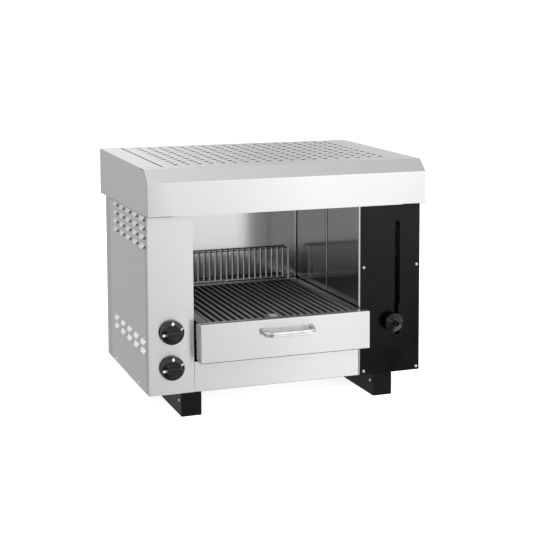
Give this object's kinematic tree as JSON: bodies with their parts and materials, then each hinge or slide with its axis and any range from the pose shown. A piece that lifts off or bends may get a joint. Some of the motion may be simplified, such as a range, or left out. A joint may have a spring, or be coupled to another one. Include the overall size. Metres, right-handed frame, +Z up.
{
  "type": "gas salamander grill",
  "caption": "Countertop gas salamander grill: open-fronted steel cabinet with overhead infrared burners, a height-adjustable grate shelf with a drip drawer, and a clamp knob in a slot.",
  "frame": {"origin": "on the bench under the feet, midway between the sides and midway between the drawer handle and the hood's back", "axes": "+X to the right, +Y to the back, +Z up; the open front faces -Y"},
  "size_m": [0.6075, 0.478, 0.514],
  "materials": {
    "stainless_sheet": "brushed",
    "steel_screw": "satin",
    "galvanised_steel": "satin",
    "burner_steel": "heat-tinted",
    "ceramic": "matte ceramic",
    "brass": "turned",
    "copper_pipe": "drawn",
    "ground_steel": "ground",
    "bronze": "turned",
    "black_paint": "satin",
    "black_plastic": "gloss",
    "cast_iron": "matte",
    "polished_steel": "polished"
  },
  "bodies": {
    "cabinet": {"base_tray": "galvanised_steel", "left_foot": "black_paint", "right_foot": "black_paint", "foot_screws": "steel_screw", "left_front_panel": "stainless_sheet", "left_side_panel": "stainless_sheet", "right_side_panel": "stainless_sheet", "side_screws": "steel_screw", "back_panel": "stainless_sheet", "lift_panel": "black_paint", "panel_screws": "steel_screw", "sill_panel": "stainless_sheet", "left_inner_wall": "stainless_sheet", "chamber_back": "stainless_sheet", "right_wall_front": "stainless_sheet", "right_wall_rear": "stainless_sheet", "hood_shell": "stainless_sheet", "hood_left_cheek": "stainless_sheet", "hood_right_cheek": "stainless_sheet", "hood_back": "stainless_sheet", "left_burner_rail": "galvanised_steel", "right_burner_rail": "galvanised_steel", "front_burner": "burner_steel", "rear_burner": "burner_steel", "front_tiles": "ceramic", "rear_tiles": "ceramic", "injector_bracket": "galvanised_steel", "gas_injectors": "brass", "gas_manifold": "galvanised_steel", "upper_valve": "brass", "lower_valve": "brass", "front_pipe": "copper_pipe", "rear_pipe": "copper_pipe", "supply_pipe": "copper_pipe", "gas_inlet": "brass", "guide_rods": "ground_steel", "lower_rod_plate": "galvanised_steel", "upper_rod_plate": "galvanised_steel", "stop_collars": "ground_steel"},
    "shelf": {"carriage": "galvanised_steel", "carriage_bushes": "bronze", "shelf_arm": "galvanised_steel", "lift_tongue": "black_paint", "shelf_frame": "stainless_sheet", "grate": "cast_iron", "wire_guard": "stainless_sheet"},
    "drawer": {"drip_tray": "stainless_sheet", "drawer_front": "stainless_sheet", "drawer_handle": "polished_steel", "handle_screws": "steel_screw"},
    "clamp": {"clamp_knob": "black_plastic", "clamp_screw": "ground_steel"},
    "upper_push": {"upper_push_rod": "brass"},
    "upper_control": {"upper_spindle": "brass", "upper_knob": "black_plastic"},
    "lower_push": {"lower_push_rod": "brass"},
    "lower_control": {"lower_spindle": "brass", "lower_knob": "black_plastic"}
  },
  "joints": [
    {"name": "shelf_lift", "type": "slide", "parent": "cabinet", "child": "shelf", "axis": [0, 0, 1], "range_m": [0, 0.175]},
    {"name": "drawer_slide", "type": "slide", "parent": "shelf", "child": "drawer", "axis": [0, -1, 0], "range_m": [0, 0.26]},
    {"name": "clamp_turn", "type": "hinge", "parent": "shelf", "child": "clamp", "pos_m": [0.2325, -0.18, 0.1595], "axis": [0, -1, 0], "range_deg": [0, 270]},
    {"name": "upper_knob_push", "type": "slide", "parent": "cabinet", "child": "upper_push", "axis": [0, 1, 0], "range_m": [0, 0.004], "stiffness_N_per_m": 1500, "springref_m": -0.004},
    {"name": "upper_knob_turn", "type": "hinge", "parent": "upper_push", "child": "upper_control", "pos_m": [-0.2525, -0.171, 0.1765], "axis": [0, -1, 0], "range_deg": [0, 170]},
    {"name": "lower_knob_push", "type": "slide", "parent": "cabinet", "child": "lower_push", "axis": [0, 1, 0], "range_m": [0, 0.004], "stiffness_N_per_m": 1500, "springref_m": -0.004},
    {"name": "lower_knob_turn", "type": "hinge", "parent": "lower_push", "child": "lower_control", "pos_m": [-0.2525, -0.171, 0.1035], "axis": [0, -1, 0], "range_deg": [0, 170]}
  ]
}
